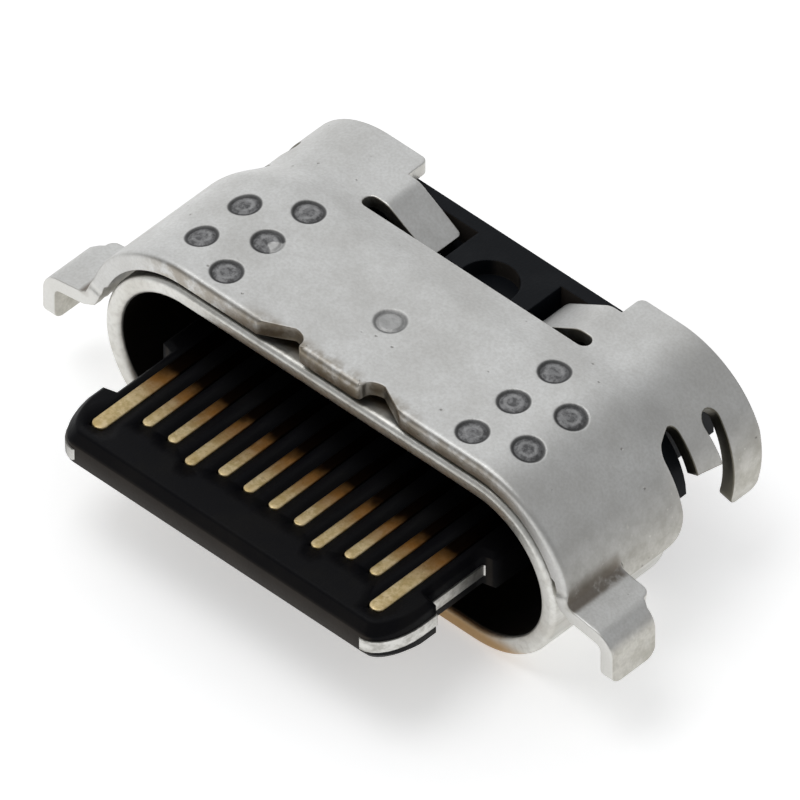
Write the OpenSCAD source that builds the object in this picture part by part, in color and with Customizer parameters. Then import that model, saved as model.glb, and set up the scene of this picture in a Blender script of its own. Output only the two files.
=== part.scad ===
// 24-contact reversible socket for mounting in a cut-out at a board's edge.
// Frame: +X across the mouth, +Y into the socket, +Z up, in millimetres.
// Origin: middle of the mouth, on the front plane of the inner shell.

/* [Mouth] */
// Width of the mouth opening
mouth_w = 8.34; // [8.2:0.02:8.5]
// Height of the mouth opening
mouth_h = 2.56; // [2.5:0.02:2.64]

/* [Inner shell] */
// Wall of the drawn inner shell
shell_wall = 0.3; // [0.24:0.02:0.36]
// Length of the inner shell
shell_len = 2.4; // [2.3:0.02:2.44]
// Rounding of the inner shell's front edges
shell_round = 0.1; // [0.04:0.02:0.11]

/* [Outer cover] */
// Thickness of the cover's sheet
sheet = 0.24; // [0.2:0.01:0.26]
// Gap between the inner shell and the cover's side walls
cover_gap = 0.09; // [0.07:0.01:0.12]
// Height of the cover's bend axis above the mouth's axis
cover_lift = 0.07; // [0.04:0.01:0.1]
// Length of the cover's wide front section
front_len = 2.46; // [2.44:0.01:2.5]
// Step from the front section in to the narrow rear section
rear_drop = 0.33; // [0.3:0.01:0.36]
// Length over which the roof steps down
joggle_len = 0.5; // [0.45:0.01:0.52]
// Length of the narrow rear section, with its step
rear_len = 1.89; // [1.84:0.01:1.99]
// Height of the side walls' lower edge
skirt_z = 0.1; // [0.06:0.01:0.14]
// Radius of the side walls' lower rear corner
skirt_round = 0.45; // [0.3:0.01:0.55]
// Diameter of a weld spot
weld_d = 0.52; // [0.4:0.01:0.56]
// Depth of a weld spot's sunk face
weld_sink = 0.03; // [0.02:0.01:0.05]
// Distance from the front edge to the first weld spots
weld_y = 0.45; // [0.4:0.01:0.5]
// Spacing of the weld spots along a row
weld_step = 0.86; // [0.8:0.01:0.88]
// Half-width between the inner rows of weld spots
weld_x = 2.43; // [2.3:0.01:2.5]
// Distance from an inner row to the outer one
weld_row = 0.8; // [0.7:0.01:0.85]

/* [Side slots and rear legs] */
// Width of the slot in front of the short side tab
front_slot_w = 0.57; // [0.54:0.01:0.6]
// Width of the short side tab
tab_w = 0.44; // [0.4:0.01:0.48]
// Height of the short side tab's lower end
tab_z = 0.63; // [0.55:0.01:0.7]
// How much lower the tab's rear corner is
tab_drop = 0.1; // [0.05:0.01:0.14]
// Width of the slot between the tab and the rear leg
slot_w = 0.3; // [0.26:0.01:0.34]
// Height of the rear slot's round top
slot_z = 1.27; // [1.2:0.01:1.32]
// Height of the front slot's round top
front_slot_z = 1.38; // [1.32:0.01:1.42]
// Height of the rear legs' tips
rear_leg_z = -0.42; // [-0.5:0.01:-0.35]

/* [Front wings] */
// Width over both front legs
wing_span = 11.3; // [11.1:0.05:11.5]
// Length of a wing at its root
wing_len = 1.15; // [1:0.01:1.3]
// Length of a front leg
leg_len = 0.92; // [0.8:0.01:0.98]
// How far the wings stand in front of the mouth plane
wing_ahead = 0.05; // [0:0.01:0.08]
// Height of the front legs' tips
leg_z = -0.62; // [-0.7:0.01:-0.5]
// Inside radius of the sheet's bends
bend_r = 0.12; // [0.1:0.01:0.14]

/* [Roof cut-out and flaps] */
// Distance from the front section to the roof cut-out
cutout_set = 0.54; // [0.52:0.01:0.58]
// Half-width between the flaps' bend lines
flap_x = 1.9; // [1.8:0.01:2]
// Length of a flap
flap_len = 1; // [0.9:0.01:1.05]
// Slope of a flap, in degrees
flap_tilt = 31; // [28:0.5:33]
// Width of a flap at its bend line
flap_w = 0.68; // [0.62:0.01:0.74]
// Width of the slot in front of a flap
flap_slot = 0.25; // [0.2:0.01:0.28]
// Length of that slot beyond the bend line
flap_slot_over = 0.33; // [0.28:0.01:0.4]

/* [Front edge of the cover] */
// Half-width of the stub left by the carrier strip
stub_x = 0.62; // [0.5:0.01:0.7]
// Depth of the round reliefs beside the stub
relief = 0.26; // [0.2:0.01:0.3]

/* [Tongue] */
// Width of the tongue
tongue_w = 6.6; // [6.5:0.02:6.69]
// Thickness of the tongue
tongue_t = 0.7; // [0.66:0.01:0.74]
// How far the tongue stands in front of the mouth plane
tongue_ahead = 2.33; // [2.25:0.01:2.42]
// Length of the lead-in chamfers along the tongue
lead_y = 0.15; // [0.1:0.01:0.2]
// Depth of the lead-in chamfers across the tongue
lead_z = 0.19; // [0.14:0.01:0.2]
// Width of a front corner's round
corner_a = 0.45; // [0.35:0.01:0.5]
// Length of a front corner's round
corner_b = 0.8; // [0.7:0.01:0.85]
// Depth of the latch recesses in the tongue's sides
latch_in = 0.22; // [0.16:0.01:0.26]
// Distance from the tongue's tip to the latch recesses
latch_y = 1.1; // [1.04:0.01:1.18]
// Length of the latch recesses
latch_len = 1.2; // [1.1:0.01:1.3]
// Start of the thick tongue base
base_y = 1.05; // [0.9:0.01:1.2]
// Thickness of the thick tongue base
base_t = 1.1; // [1:0.01:1.2]
// Start of the wall that closes the inner shell
wall_y = 1.95; // [1.85:0.01:2.05]

/* [Contacts] */
// Pitch of the contacts
pitch = 0.5; // [0.49:0.01:0.51]
// Width of the outermost contacts
ground_w = 0.26; // [0.22:0.01:0.28]
// Width of the other contacts
signal_w = 0.2; // [0.16:0.01:0.22]
// Thickness of a contact
contact_t = 0.12; // [0.1:0.01:0.13]
// How far the contacts stand proud of the tongue
contact_proud = 0.02; // [0.01:0.01:0.04]
// Distance from the tongue's tip to the outermost contacts
ground_set = 0.35; // [0.3:0.01:0.4]
// Distance from the tongue's tip to the supply contacts
supply_set = 0.7; // [0.65:0.01:0.75]
// Distance from the tongue's tip to the other contacts
signal_set = 0.87; // [0.8:0.01:0.9]
// Clearance round each contact in the plastic
contact_clear = 0.01; // [0.01:0.005:0.02]
// Length of the lower contacts' feet
lower_foot = 0.75; // [0.6:0.01:0.8]
// Length of the upper contacts' feet
upper_foot = 0.5; // [0.4:0.01:0.6]

/* [Middle plate and shield plates] */
// Thickness of the middle plate
plate_t = 0.2; // [0.14:0.01:0.22]
// How far the middle plate stands proud of the tongue's corners
plate_proud = 0.03; // [0.02:0.01:0.05]
// Thickness of the shield plates on the tongue base
pad_t = 0.1; // [0.08:0.01:0.12]
// Width of the shield plates
pad_w = 6.1; // [5.9:0.05:6.3]

/* [Housing] */
// Height of the board's surface above the mouth's axis
board_z = 0.1; // [0.06:0.01:0.14]
// How far the housing's rear face stands inside the cover
housing_in = 0.09; // [0.07:0.01:0.15]
// Half-width of the housing's rear block
block_x = 3.62; // [3.55:0.01:3.7]
// Length of the wide cheeks behind the flange
cheek_len = 0.45; // [0.4:0.01:0.6]
// Thickness of the housing's front flange
flange_t = 0.2; // [0.16:0.01:0.22]
// Height of the housing's bare top in the cut-out
panel_z = 1.33; // [1.3:0.01:1.36]
// Half-width of the raised panel
panel_x = 0.76; // [0.7:0.01:0.8]
// Diameter of the round recess in the panel
recess_d = 0.96; // [0.9:0.01:1]
// Depth of the round recess
recess_in = 0.28; // [0.2:0.01:0.32]
// Clearance between the moulded pieces and the metal round them
fit = 0.02; // [0.01:0.005:0.03]

/* [Hidden] */
$fn = 64;

// Sections, all measured from the two bend axes at x = +/- corner_x
mouth_r = mouth_h / 2;
corner_x = mouth_w / 2 - mouth_r;
shell_r = mouth_r + shell_wall;
cover_in = shell_r + cover_gap;
cover_r = cover_in + sheet;
rear_r = cover_r - rear_drop;
rear_in = rear_r - sheet;
roof_z = cover_lift + cover_r;
rear_roof_z = cover_lift + rear_r;
housing_r = rear_in - fit;

// Stations along Y
cover_len = front_len + rear_len;
tab_y = front_len + front_slot_w;
cutout_y = front_len + cutout_set;
housing_y = cover_len - housing_in;
tip_y = -tongue_ahead;
leg_y = tab_y + tab_w + slot_w;
block_y = shell_len + flange_t;
flap_y = cutout_y + flap_slot;
latch_0 = tip_y + latch_y;
latch_1 = latch_0 + latch_len;
latch_slope = 0.06;
wing_end = wing_len - wing_ahead;
riser_y = shell_len + 0.05;
drop_y = housing_y + 0.08;
lower_y = block_y + 0.06;
recess_y = cutout_y + 0.35;

// Heights
bend_z = skirt_z + sheet + bend_r;
elbow_z = skirt_z - bend_r;
blade_z = tongue_t / 2 + contact_proud;
run_z = 0.72;
window_z = 0.3;
pocket_z = rear_roof_z - flap_len * sin(flap_tilt) - sheet * cos(flap_tilt);

// Wings: axes of the bend at the root, to the nearest micron, and of the bend over the leg
root_x = corner_x + sqrt(pow(cover_r, 2) - pow(bend_z - cover_lift, 2));
wing_x = round(1000 * (root_x + bend_r)) / 1000;
elbow_x = wing_span / 2 - sheet - bend_r;

// Small features that keep their size
edge_round = 0.09;
leg_lean = 0.1;
relief_run = 0.8;
flange_lap = 0.1;
plate_set = 0.35;
hole_pitch = 1.6;
hole_y = 0.2;
hole_d = 0.7;
tail_w = 0.3;
tail_gap = 0.07;
tail_x = 5.5 * pitch + ground_w / 2 + tail_gap + tail_w / 2;
pad_lip = 0.3;
side_lead = 0.08;
leg_turn = 5 * ceil(asin((cover_lift - rear_leg_z) / rear_in) / 5 + 0.2);

// Weld spots, as [x, y]: five on each side and one in the middle
weld_side = concat(
    [for (k = [0:2]) [weld_x, weld_y + k * weld_step]],
    [for (k = [0:1]) [weld_x + weld_row, weld_y + (k + 0.35) * weld_step * 1.05]]);
welds = concat(weld_side, [for (w = weld_side) [-w[0], w[1]]], [[0, weld_y + weld_step]]);

steps = 8;
over = 1;

// Points on a quarter ellipse from angle a0 to a1
function arc(cx, cy, a, b, a0, a1) =
    [for (i = [0:steps]) let (t = a0 + (a1 - a0) * i / steps) [cx + a * cos(t), cy + b * sin(t)]];

// Radius of the cover's outer face at the fraction t of the joggle, as a half cosine wave
function joggle_r(t) = cover_r - rear_drop * (1 - cos(180 * t)) / 2;

// Turns a shape drawn as [y, z] to stand across X, with the given width
module across(w) {
    rotate([90, 0, 90]) linear_extrude(height = w, center = true) children();
}

// Turns a shape drawn as [x, z] to run along Y from y0 to y1
module along(y0, y1) {
    translate([0, y1, 0]) rotate([90, 0, 0]) linear_extrude(height = y1 - y0) children();
}

// Carries a wall drawn as [radius, y] round one bend axis, from angle a0 to a1
module bent(a0, a1, lift) {
    translate([corner_x, 0, lift]) rotate([90, 0, 0]) rotate([0, 0, a0])
        rotate_extrude(angle = a1 - a0) mirror([0, 1]) children();
}

// Carries a wall drawn as [radius, y] over the flat between the two bend axes
module flat_part(lift) {
    translate([0, 0, lift]) rotate([90, 0, 90])
        linear_extrude(height = 2 * corner_x, center = true) mirror([1, 0]) rotate(90) children();
}

// Both sides of a shape that is drawn at +X
module both_sides() {
    children();
    mirror([1, 0, 0]) children();
}

// The stadium of a given radius round the two bend axes, drawn as [x, z]
module stadium(r) {
    square([2 * corner_x, 2 * r], center = true);
    for (s = [-1, 1]) translate([s * corner_x, 0]) circle(r);
}

// ---- Inner shell ----

module shell_wall_section() {
    polygon(concat(
        arc(mouth_r + shell_round, shell_round, shell_round, shell_round, 180, 270),
        arc(shell_r - shell_round, shell_round, shell_round, shell_round, 270, 360),
        [[shell_r, shell_len], [mouth_r, shell_len]]));
}

module inner_shell() {
    color([0.72, 0.71, 0.68]) {
        both_sides() bent(-90, 90, 0) shell_wall_section();
        for (turn = [0, 180]) rotate([0, turn, 0]) flat_part(0) shell_wall_section();
    }
}

// ---- Outer cover ----

// Wall of the cover, as [radius, y]: front section, step down, rear section
module cover_section() {
    outer = [for (i = [0:steps]) [joggle_r(i / steps), front_len + joggle_len * i / steps]];
    inner = [for (i = [steps:-1:0]) [joggle_r(i / steps) - sheet, front_len + joggle_len * i / steps]];
    polygon(concat(
        [[cover_in, 0]],
        arc(cover_r - edge_round, edge_round, edge_round, edge_round, 270, 360),
        outer, [[rear_r, cover_len], [rear_in, cover_len]], inner));
}

// Side view of a rear leg, as [y, z], with its band of wall above the slots
module rear_leg_outline() {
    tip_r = 0.17;
    y0 = leg_y - leg_lean;
    y1 = cover_len - leg_lean;
    polygon(concat(
        [[cover_len, roof_z + over], [leg_y, roof_z + over], [leg_y, slot_z - slot_w / 2]],
        arc(y0 + tip_r, rear_leg_z + tip_r, tip_r, tip_r, 180, 270),
        arc(y1 - tip_r, rear_leg_z + tip_r, tip_r, tip_r, 270, 360),
        [[cover_len, tab_z]]));
}

// Side view of the wall, as [y, z]: what is left of it after blanking
module side_outline() {
    slot_r = slot_w / 2;
    difference() {
        union() {
            translate([-over, skirt_z]) square([over + leg_y, roof_z + over - skirt_z]);
            rear_leg_outline();
        }
        // the wing's bend
        translate([-2 * over, -over]) square([2 * over + wing_end, over + bend_z]);
        // the skirt's lower rear corner
        difference() {
            translate([front_len - skirt_round, skirt_z - over])
                square([skirt_round + slot_r, over + skirt_round]);
            translate([front_len - skirt_round, skirt_z + skirt_round]) circle(skirt_round);
        }
        // the front slot
        translate([front_len, -over]) square([tab_y - front_len, over + front_slot_z - slot_r]);
        translate([front_len + slot_r, 0]) square([tab_y - front_len - slot_w, front_slot_z]);
        for (y = [front_len + slot_r, tab_y - slot_r])
            translate([y, front_slot_z - slot_r]) circle(slot_r);
        // the tab's end, and the rear slot
        polygon([[tab_y - slot_r, -over], [leg_y - slot_r, -over], [leg_y - slot_r, tab_z - tab_drop],
            [leg_y - slot_w, tab_z - tab_drop], [tab_y, tab_z], [tab_y - slot_r, tab_z]]);
        translate([leg_y - slot_w, -over]) square([slot_w - leg_lean, over + slot_z - slot_r]);
        translate([leg_y - slot_w, tab_z]) square([slot_w, slot_z - slot_r - tab_z]);
        translate([leg_y - slot_r, slot_z - slot_r]) circle(slot_r);
    }
}

// Plan of everything cut out of the roof, as [x, y]
module roof_cutout() {
    slot_end = flap_slot / 2;
    slot_x = flap_x + flap_slot_over - slot_end;
    translate([-flap_x, cutout_y]) square([2 * flap_x, cover_len]);
    translate([-slot_x, cutout_y]) square([2 * slot_x, flap_slot]);
    for (s = [-1, 1]) translate([s * slot_x, cutout_y + slot_end]) circle(slot_end);
    translate([-slot_x, flap_y + flap_w]) square([2 * slot_x, cover_len]);
}

// Plan of the reliefs beside the stub on the front edge, as [x, y]
module stub_reliefs() {
    for (s = [-1, 1]) {
        translate([s * (stub_x + relief), 0]) circle(relief);
        polygon([[s * (stub_x + relief), -over], [s * (stub_x + relief), relief],
            [s * (stub_x + relief_run), 0], [s * (stub_x + relief_run), -over]]);
    }
}

// A flap at +X, bent down along its root line
module flap() {
    round_r = 0.08;
    translate([flap_x, flap_y, rear_roof_z]) rotate([0, -flap_tilt, 0]) mirror([1, 0, 0])
        translate([0, 0, -sheet]) linear_extrude(height = sheet) {
            square([flap_len - round_r, flap_w]);
            translate([0, round_r]) square([flap_len, flap_w - 2 * round_r]);
            for (y = [round_r, flap_w - round_r]) translate([flap_len - round_r, y]) circle(round_r);
        }
}

// Section of a wing at +X, as [x, z]: bend out, plate, bend down, leg
module wing_section() {
    difference() {
        translate([wing_x, bend_z]) circle(bend_r + sheet);
        translate([wing_x, bend_z]) circle(bend_r);
        translate([wing_x, bend_z - over]) square(2 * over);
        translate([wing_x - over, bend_z]) square(2 * over);
    }
    translate([wing_x, skirt_z]) square([elbow_x - wing_x, sheet]);
    difference() {
        translate([elbow_x, elbow_z]) circle(bend_r + sheet);
        translate([elbow_x, elbow_z]) circle(bend_r);
        translate([elbow_x - over, elbow_z - over]) square([over, 2 * over]);
        translate([elbow_x - over, elbow_z - over]) square([2 * over, over]);
    }
    translate([elbow_x + bend_r, leg_z]) square([sheet, elbow_z - leg_z]);
}

module wing() {
    tip_r = 0.2;
    corner_r = 0.15;
    leg_end = leg_len - wing_ahead;
    intersection() {
        along(-wing_ahead, wing_end) wing_section();
        // plan: the leg is shorter than the root
        translate([0, 0, leg_z - over]) linear_extrude(height = 2 * over + bend_z - leg_z)
            polygon(concat(
                [[corner_x, -over], [wing_span / 2 + over, -over], [wing_span / 2 + over, leg_end],
                 [elbow_x + corner_r, leg_end]],
                arc(elbow_x - corner_r, wing_end - corner_r, corner_r, corner_r, 0, 90),
                [[corner_x, wing_end]]));
        // side view: the leg's tip is round
        across(2 * wing_span) union() {
            translate([-over, leg_z + tip_r]) square([2 * over + wing_end, 2 * over]);
            translate([tip_r - wing_ahead, leg_z]) square([leg_len - 2 * tip_r, over]);
            for (y = [tip_r - wing_ahead, leg_end - tip_r]) translate([y, leg_z + tip_r]) circle(tip_r);
        }
    }
}

// Puts a shape at a weld spot, with +Z along the cover's outward normal
module at_weld(spot) {
    side = spot[0] < 0 ? -1 : 1;
    past = max(0, abs(spot[0]) - corner_x);
    translate([spot[0] - side * past, spot[1], cover_lift])
        rotate([0, side * asin(past / cover_r), 0]) children();
}

module outer_cover() {
    color([0.78, 0.77, 0.74]) {
        difference() {
            intersection() {
                union() {
                    both_sides() bent(-leg_turn, 90, cover_lift) cover_section();
                    flat_part(cover_lift) cover_section();
                }
                across(2 * wing_span) side_outline();
            }
            translate([0, 0, rear_roof_z - over]) linear_extrude(height = 2 * over) roof_cutout();
            translate([0, 0, roof_z - over]) linear_extrude(height = 2 * over) stub_reliefs();
            for (spot = welds) at_weld(spot)
                translate([0, 0, cover_r - weld_sink]) cylinder(h = over, d = weld_d);
        }
        both_sides() flap();
        both_sides() wing();
        // weld nuggets down to the inner shell
        difference() {
            for (spot = welds) at_weld(spot)
                translate([0, 0, mouth_r]) cylinder(h = cover_in + sheet / 2 - mouth_r, d = 0.8 * weld_d);
            along(-over, cover_len) stadium(shell_r);
        }
    }
}

// ---- Contacts ----

function contact_x(i) = (i - 6.5) * pitch;
function contact_w(i) = i == 1 || i == 12 ? ground_w : signal_w;
function contact_set(i) = i == 1 || i == 12 ? ground_set : i == 4 || i == 9 ? supply_set : signal_set;

// Side view of an upper contact from y0 on, as [y, z]: blade, riser, run, drop and foot
module upper_path(y0) {
    polygon([[y0, blade_z], [riser_y, blade_z], [riser_y, run_z], [drop_y + contact_t, run_z],
        [drop_y + contact_t, board_z + contact_t], [drop_y + upper_foot, board_z + contact_t],
        [drop_y + upper_foot, board_z], [drop_y, board_z], [drop_y, run_z - contact_t],
        [riser_y + contact_t, run_z - contact_t], [riser_y + contact_t, blade_z - contact_t],
        [y0, blade_z - contact_t]]);
}

// Side view of a lower contact from y0 on, as [y, z]: blade, riser and foot
module lower_path(y0) {
    polygon([[y0, -blade_z], [lower_y + contact_t, -blade_z], [lower_y + contact_t, board_z],
        [lower_y + lower_foot, board_z], [lower_y + lower_foot, board_z + contact_t],
        [lower_y, board_z + contact_t], [lower_y, contact_t - blade_z], [y0, contact_t - blade_z]]);
}

// A contact: its round end lies in the tongue's groove
module contact(i, upper) {
    w = contact_w(i);
    y0 = tip_y + contact_set(i);
    color([0.83, 0.68, 0.35]) translate([upper ? contact_x(i) : -contact_x(i), 0, 0]) {
        across(w) if (upper) upper_path(y0 + w / 2); else lower_path(y0 + w / 2);
        translate([0, y0 + w / 2, upper ? blade_z - contact_t : -blade_z])
            cylinder(h = contact_t, d = w);
    }
}

// The room that both rows of contacts take in the plastic
module contact_slots() {
    for (i = [1:12]) translate([contact_x(i), 0, 0]) across(contact_w(i) + 2 * contact_clear) {
        upper_path(tip_y + contact_set(i));
        lower_path(tip_y + contact_set(i));
    }
}

// ---- Middle plate ----

// Half of the tongue's plan, as points: the round front corner, grown by a margin
function corner_points(grow) =
    arc(tongue_w / 2 - corner_a, tip_y + corner_b, corner_a + grow, corner_b + grow, 270, 360);

module mid_plate() {
    side = tongue_w / 2 + plate_proud;
    latch_side = side - latch_in;
    inner_side = tongue_w / 2 - 0.1;
    rear_side = tail_x + tail_w / 2;
    color([0.8, 0.79, 0.76]) {
        difference() {
            translate([0, 0, -plate_t / 2]) linear_extrude(height = plate_t) for (s = [0, 1]) mirror([s, 0])
                polygon(concat(
                    [[0, tip_y + plate_set], [tongue_w / 2 - corner_a - plate_set, tip_y + plate_set]],
                    corner_points(plate_proud),
                    [[side, latch_0], [latch_side, latch_0 + latch_slope], [latch_side, latch_1],
                     [inner_side, latch_1 + latch_slope], [inner_side, shell_len - tail_w],
                     [rear_side, shell_len - tail_w], [rear_side, shell_len], [0, shell_len]]));
            for (x = [-1, 0, 1] * hole_pitch)
                translate([x, hole_y, -over]) cylinder(h = 2 * over, d = hole_d);
        }
        // tails down to the board, one at each side
        both_sides() translate([tail_x, 0, 0]) across(tail_w) polygon([
            [shell_len - tail_w, -plate_t / 2], [lower_y + plate_t, -plate_t / 2],
            [lower_y + plate_t, board_z], [lower_y + lower_foot, board_z],
            [lower_y + lower_foot, board_z + plate_t], [lower_y, board_z + plate_t],
            [lower_y, plate_t / 2], [shell_len - tail_w, plate_t / 2]]);
    }
}

// ---- Tongue ----

module tongue() {
    color([0.09, 0.09, 0.1]) difference() {
        union() {
            intersection() {
                translate([0, 0, -tongue_t / 2]) linear_extrude(height = tongue_t)
                    for (s = [0, 1]) mirror([s, 0]) polygon(concat([[0, tip_y]], corner_points(0),
                        [[tongue_w / 2, latch_0], [tongue_w / 2 - latch_in, latch_0 + latch_slope],
                         [tongue_w / 2 - latch_in, latch_1], [tongue_w / 2, latch_1 + latch_slope],
                         [tongue_w / 2, shell_len], [0, shell_len]]));
                // lead-in chamfers at the front, and small ones along the sides
                across(2 * tongue_w) polygon([
                    [tip_y, lead_z - tongue_t / 2], [tip_y + lead_y, -tongue_t / 2],
                    [shell_len, -tongue_t / 2], [shell_len, tongue_t / 2],
                    [tip_y + lead_y, tongue_t / 2], [tip_y, tongue_t / 2 - lead_z]]);
                along(tip_y, shell_len) for (s = [0, 1]) mirror([s, 0]) polygon([
                    [0, -tongue_t / 2], [tongue_w / 2 - side_lead, -tongue_t / 2],
                    [tongue_w / 2, side_lead - tongue_t / 2], [tongue_w / 2, tongue_t / 2 - side_lead],
                    [tongue_w / 2 - side_lead, tongue_t / 2], [0, tongue_t / 2]]);
            }
            translate([-tongue_w / 2 + 0.1, base_y, -base_t / 2])
                cube([tongue_w - 0.2, shell_len - base_y, base_t]);
            along(wall_y, shell_len) stadium(mouth_r - fit);
        }
        contact_slots();
        mid_plate();
    }
}

// ---- Shield plates ----

module shield() {
    color([0.75, 0.74, 0.71]) across(pad_w) polygon([
        [base_y + pad_t, base_t / 2], [wall_y, base_t / 2], [wall_y, base_t / 2 + pad_t + pad_lip],
        [wall_y - pad_t, base_t / 2 + pad_t + pad_lip], [wall_y - pad_t, base_t / 2 + pad_t],
        [base_y + pad_t, base_t / 2 + pad_t]]);
}

module shield_top() { shield(); }
module shield_bottom() { mirror([0, 0, 1]) shield(); }

// ---- Housing ----

module rear_housing() {
    top_x = flap_x + flap_slot_over + 2 * fit;
    pocket_x = panel_x + 0.06;
    pocket_y = flap_y - 0.1;
    pocket_len = flap_w + 0.2;
    window_x = tail_x + tail_w / 2 + 0.05;
    color([0.12, 0.13, 0.15]) difference() {
        union() {
            along(shell_len, block_y) stadium(mouth_r + flange_lap);
            intersection() {
                along(shell_len, housing_y) translate([0, cover_lift]) stadium(housing_r);
                union() {
                    translate([-block_x, shell_len, board_z]) cube([2 * block_x, housing_y, roof_z]);
                    translate([-wing_span / 2, shell_len, board_z])
                        cube([wing_span, flange_t + cheek_len, roof_z]);
                }
            }
        }
        // the bare top in the cut-out, with a pocket under each flap
        translate([-top_x, cutout_y - fit, panel_z]) cube([2 * top_x, housing_y, over]);
        both_sides() translate([pocket_x, pocket_y, pocket_z])
            cube([flap_x + 0.1 - pocket_x, pocket_len, over]);
        translate([0, recess_y, panel_z - recess_in]) cylinder(h = over, d = recess_d);
        // the window over the lower contacts' feet
        translate([-window_x, block_y, board_z - over])
            cube([2 * window_x, lower_y + lower_foot + 0.1 - block_y, over + window_z]);
        contact_slots();
        mid_plate();
    }
}

inner_shell();
outer_cover();
mid_plate();
tongue();
rear_housing();
shield_top();
shield_bottom();
for (i = [1:12]) contact(i, true);
for (i = [1:12]) contact(i, false);
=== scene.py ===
import math

import bmesh
import bpy
import numpy as np
from mathutils import Matrix, Vector
from mathutils.geometry import delaunay_2d_cdt


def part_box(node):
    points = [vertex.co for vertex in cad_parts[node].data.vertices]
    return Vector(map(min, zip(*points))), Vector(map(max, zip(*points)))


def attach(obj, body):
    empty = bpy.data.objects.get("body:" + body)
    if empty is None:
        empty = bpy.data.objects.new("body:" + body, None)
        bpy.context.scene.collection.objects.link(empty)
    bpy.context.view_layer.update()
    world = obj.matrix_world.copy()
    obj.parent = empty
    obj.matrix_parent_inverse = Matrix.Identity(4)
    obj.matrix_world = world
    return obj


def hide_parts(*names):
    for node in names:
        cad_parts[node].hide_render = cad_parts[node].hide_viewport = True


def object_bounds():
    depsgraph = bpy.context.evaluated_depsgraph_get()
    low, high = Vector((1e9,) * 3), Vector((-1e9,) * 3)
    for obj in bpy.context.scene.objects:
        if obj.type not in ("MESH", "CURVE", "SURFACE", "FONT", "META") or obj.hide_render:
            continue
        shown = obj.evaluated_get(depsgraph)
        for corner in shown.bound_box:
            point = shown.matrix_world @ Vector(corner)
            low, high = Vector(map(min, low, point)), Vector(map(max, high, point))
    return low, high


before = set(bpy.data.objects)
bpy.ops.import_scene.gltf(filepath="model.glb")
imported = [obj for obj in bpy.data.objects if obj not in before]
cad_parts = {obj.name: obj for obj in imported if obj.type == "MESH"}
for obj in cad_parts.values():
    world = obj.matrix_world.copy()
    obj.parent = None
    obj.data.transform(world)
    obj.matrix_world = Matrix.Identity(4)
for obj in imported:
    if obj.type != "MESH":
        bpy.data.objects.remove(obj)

# The 24-contact reversible socket, dressed. Shapes are worked out in millimetres in the
# frame's own axes, +X across the mouth, +Y into the socket and +Z up, and put into the
# meshes in metres.

MM = 0.001
cad_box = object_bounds()


def corners(node):
    """The lowest and highest corner of a CAD node, in millimetres."""
    low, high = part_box(node)
    return np.array(low) / MM, np.array(high) / MM


# ---- Sizes that the frame gives ----

_, shell_high = corners("inner_shell")
cover_low, cover_high = corners("outer_cover")
tongue_low, _ = corners("tongue")
foot_low, foot_high = corners("contact_a6")
_, under_high = corners("contact_b6")

SHELL_R = shell_high[2]
SHELL_LEN = shell_high[1]
CORNER_X = shell_high[0] - SHELL_R
COVER_LEN = cover_high[1]
SPAN_X = cover_high[0]
WING_FRONT = cover_low[1]
LEG_TIP = cover_low[2]
TIP_Y = tongue_low[1]

# ---- Sizes of the two shells ----

SHELL_WALL = 0.3
SHELL_ROUND = 0.1  # rounding of the drawn shell's front edges
SHELL_REAR_ROUND = 0.03
SHEET = 0.24  # thickness of the cover's sheet
COVER_GAP = 0.09
COVER_R = SHELL_R + COVER_GAP + SHEET
LIFT = cover_high[2] - COVER_R  # height of the cover's bend axis
FRONT_LEN = 2.46
JOGGLE_Y = 2.2  # where the step down to the rear section starts
JOGGLE_LEN = 0.95
REAR_DROP = 0.25
SKIRT_Z = 0.1  # height of the side walls' lower edge
SKIRT_ROUND = 0.45
TAB_Y = 3.03  # the short tab between the two side slots
TAB_W = 0.44
TAB_Z = 0.63
TAB_DROP = 0.1  # how much lower the tab's rear corner is
TAB_FLARE = 0.07  # how far the tab's rear edge leans back
SLOT_W = 0.3
SLOT_Z = 1.27
FRONT_SLOT_Z = 1.38
REAR_LEG_Z = -0.42
LEG_LEAN = 0.1  # how far forward the rear leg's tip stands
BEND_R = 0.12  # inner radius of the sheet's bends
PLATE_TILT = math.radians(9)
WING_END = 1.1
LEG_END = 0.87
CUTOUT_Y = 3.0  # front of the roof cut-out
FLAP_X = 1.9
FLAP_LEN = 1.0
FLAP_TILT = math.radians(31)
FLAP_W = 0.68
FLAP_SLOT = 0.25
FLAP_SLOT_OVER = 0.33  # how far the slot runs past the flap's bend
STUB_X = 0.62  # half-width of the carrier strip's stub
RELIEF = 0.26  # depth of the notches beside it
RELIEF_RUN = 0.8
WELD_R = 0.26
WELD_SINK = 0.03
WELD_Y = 0.45
WELD_STEP = 0.86
WELD_X = 2.43
WELD_ROW = 0.8  # from the inner row of welds to the outer one
WELD_SHIFT = 0.35  # how far back the outer row is set, in steps
WELD_SPREAD = 1.05  # its step, as a share of the inner row's
WELD_CLEARING = 1.25  # how far the even mesh stays off a weld, in radii
CHIPPED_WELD = 6  # the weld with a bare quarter
CHIPPED_BURN = 0.2
MIDDLE_BURN = 0.5

CUT_ROUND = 0.02  # rounding of the sheet's cut edges
FRONT_ROUND = 0.09  # rounding of its front edge
FRONT_SWELL = 0.2  # its extra thickness at the front edge, as a share
SWELL_LEN = 0.4
SUPPORT = 0.03  # width of the flat band beside each rounded edge
SLIT = 0.03  # width of the cut that frees a wing from the side wall
ROOT_OVER = 0.3  # how far above its root a wing follows its own line

# ---- Sizes of the tongue and the contacts ----

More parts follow.
